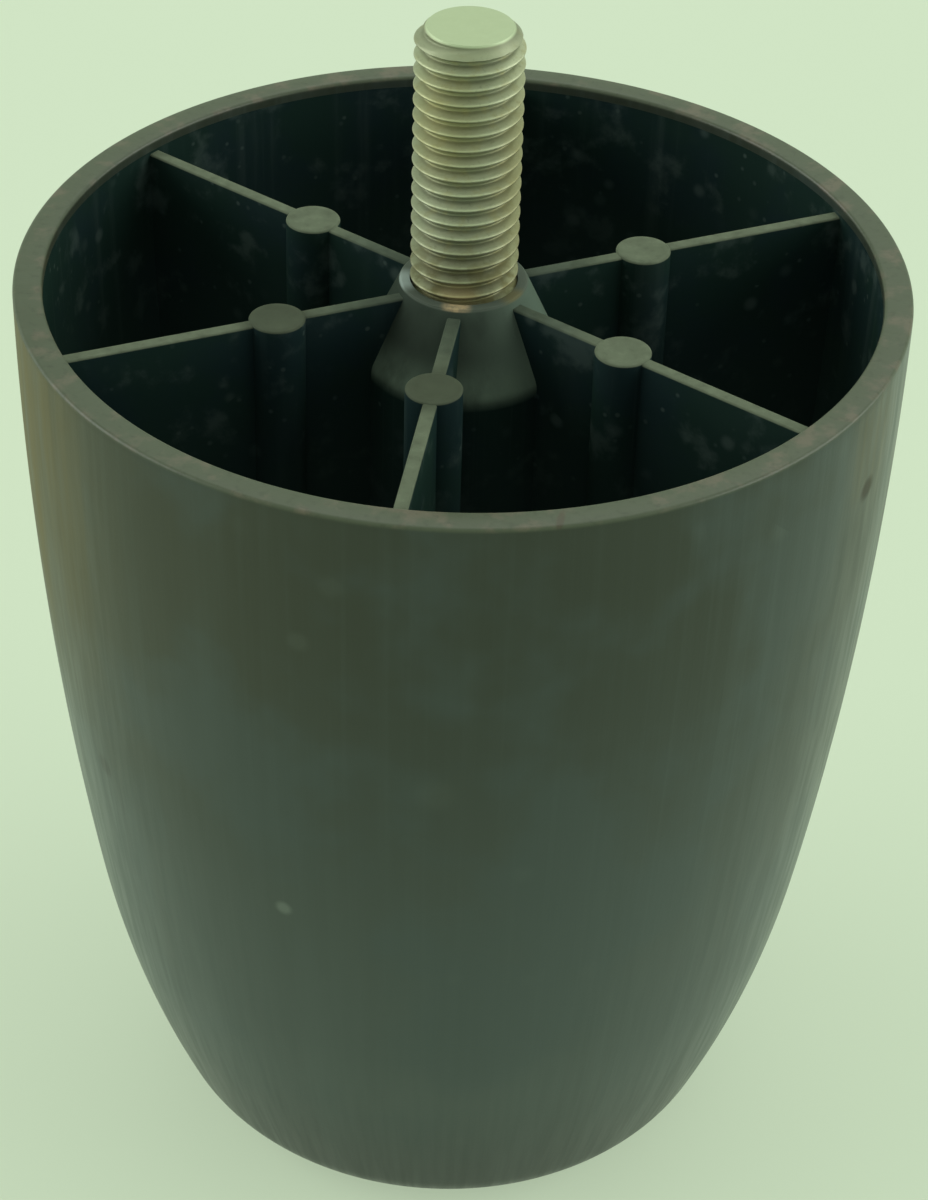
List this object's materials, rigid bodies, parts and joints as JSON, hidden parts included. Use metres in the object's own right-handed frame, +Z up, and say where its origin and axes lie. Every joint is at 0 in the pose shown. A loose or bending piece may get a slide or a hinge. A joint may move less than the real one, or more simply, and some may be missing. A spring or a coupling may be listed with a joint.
{
  "type": "furniture leg",
  "caption": "Round tapered plastic furniture leg with radial ribs inside and a threaded steel stud that screws up into the furniture.",
  "frame": {"origin": "centre of the flat foot, on the floor", "axes": "+Z up along the stud; one rib points along -Y, and +X bisects two ribs"},
  "size_m": [0.083, 0.083, 0.12],
  "materials": {
    "moulded_plastic": "semi-matt dark grey moulded plastic with fine vertical drag lines, a paler scuffed rim and a little dust inside",
    "zinc_plated_steel": "zinc-plated steel, slightly yellowed, with rolled thread and a trace of rust at its foot"
  },
  "bodies": {
    "root": {"leg_body": "moulded_plastic", "threaded_stud": "zinc_plated_steel"}
  },
  "joints": []
}
